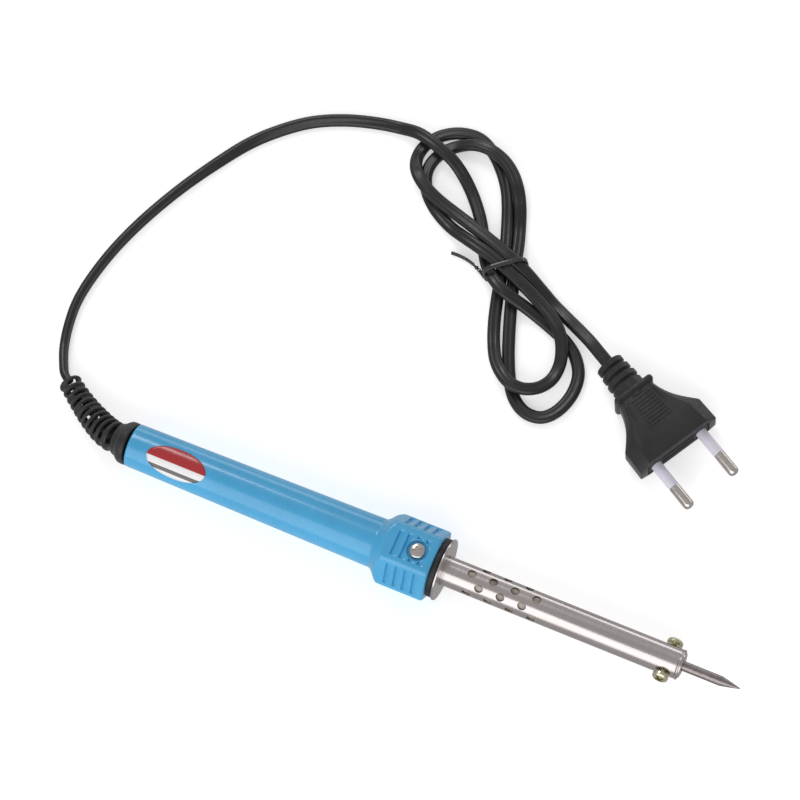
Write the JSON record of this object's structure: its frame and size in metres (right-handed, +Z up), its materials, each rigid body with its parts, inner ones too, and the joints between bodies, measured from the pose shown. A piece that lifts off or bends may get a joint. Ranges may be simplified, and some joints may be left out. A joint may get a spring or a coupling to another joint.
{
  "type": "soldering iron",
  "caption": "Mains soldering iron: screw-clamped pointed bit in a vented steel barrel, ribbed hexagonal collar, tapered handle, ribbed strain relief, flat cord in a tied hank and two-pin plug.",
  "frame": {"origin": "on the table, under the middle of the iron's length (handle's rear rim to bit's point) and under its axis", "axes": "+X along the iron towards the point of the bit, +Z up from the table, +Y to the left of the bit as seen from above, the side on which the cord lies"},
  "size_m": [0.2744, 0.1708, 0.0242],
  "materials": {
    "blue_moulding": "glossy sky-blue moulding",
    "label_film": "glossy printed film",
    "nickel": "bright nickel plate",
    "black_moulding": "satin black moulding",
    "brushed_steel": "drawn stainless steel",
    "yellow_zinc": "yellow passivated zinc plate on steel",
    "plated_bit": "iron-plated copper",
    "mica": "layered mica",
    "ceramic": "unglazed steatite",
    "glass_fibre": "braided glass fibre",
    "brass": "plain",
    "brown_core": "extruded insulation",
    "blue_core": "extruded insulation",
    "black_rubber": "satin moulded soft plastic",
    "cord_jacket": "satin extruded jacket",
    "pale_sleeve": "pale lavender-white sleeve"
  },
  "bodies": {
    "iron": {"handle_shell": "blue_moulding", "rating_label": "label_film", "front_insulator": "black_moulding", "barrel_flange": "brushed_steel", "barrel_tube": "brushed_steel", "bit_bush": "brushed_steel", "heater_core": "brushed_steel", "mica_inner": "mica", "mica_outer": "mica", "heater_winding": "nickel", "ceramic_bead": "ceramic", "heater_lead_live": "nickel", "heater_lead_neutral": "nickel", "lead_sleeve_live": "glass_fibre", "lead_sleeve_neutral": "glass_fibre", "terminal_block": "ceramic", "terminal_insert_live": "brass", "terminal_insert_neutral": "brass", "terminal_screw_live_front": "yellow_zinc", "terminal_screw_live_rear": "yellow_zinc", "terminal_screw_neutral_front": "yellow_zinc", "terminal_screw_neutral_rear": "yellow_zinc", "cord_core_live": "brown_core", "cord_core_neutral": "blue_core", "cord_grip": "black_moulding", "strain_relief": "black_rubber", "mains_cord": "cord_jacket", "cord_tie": "cord_jacket", "plug_body": "black_rubber", "pin_carrier": "black_moulding", "plug_pin_live": "nickel", "plug_pin_neutral": "nickel", "pin_sleeve_live": "pale_sleeve", "pin_sleeve_neutral": "pale_sleeve"},
    "bit": {"soldering_bit": "plated_bit"},
    "lower_clamp_screw": {"clamp_screw_lower": "yellow_zinc"},
    "upper_clamp_screw": {"clamp_screw_upper": "yellow_zinc"},
    "collar_clamp_screw": {"collar_screw": "nickel"}
  },
  "joints": [
    {"name": "bit_slide", "type": "slide", "parent": "iron", "child": "bit", "axis": [1, 0, 0], "range_m": [0, 0.04]},
    {"name": "lower_clamp_screw_turn", "type": "hinge", "parent": "iron", "child": "lower_clamp_screw", "pos_m": [0.0877, -0.00609, 0.01321], "axis": [0, -0.9744, 0.225], "continuous": true},
    {"name": "upper_clamp_screw_turn", "type": "hinge", "parent": "iron", "child": "upper_clamp_screw", "pos_m": [0.0877, 0.00609, 0.01039], "axis": [0, 0.9744, -0.225], "continuous": true},
    {"name": "collar_screw_turn", "type": "hinge", "parent": "iron", "child": "collar_clamp_screw", "pos_m": [-0.0042, 0, 0.0223], "axis": [0, 0, 1], "continuous": true}
  ]
}
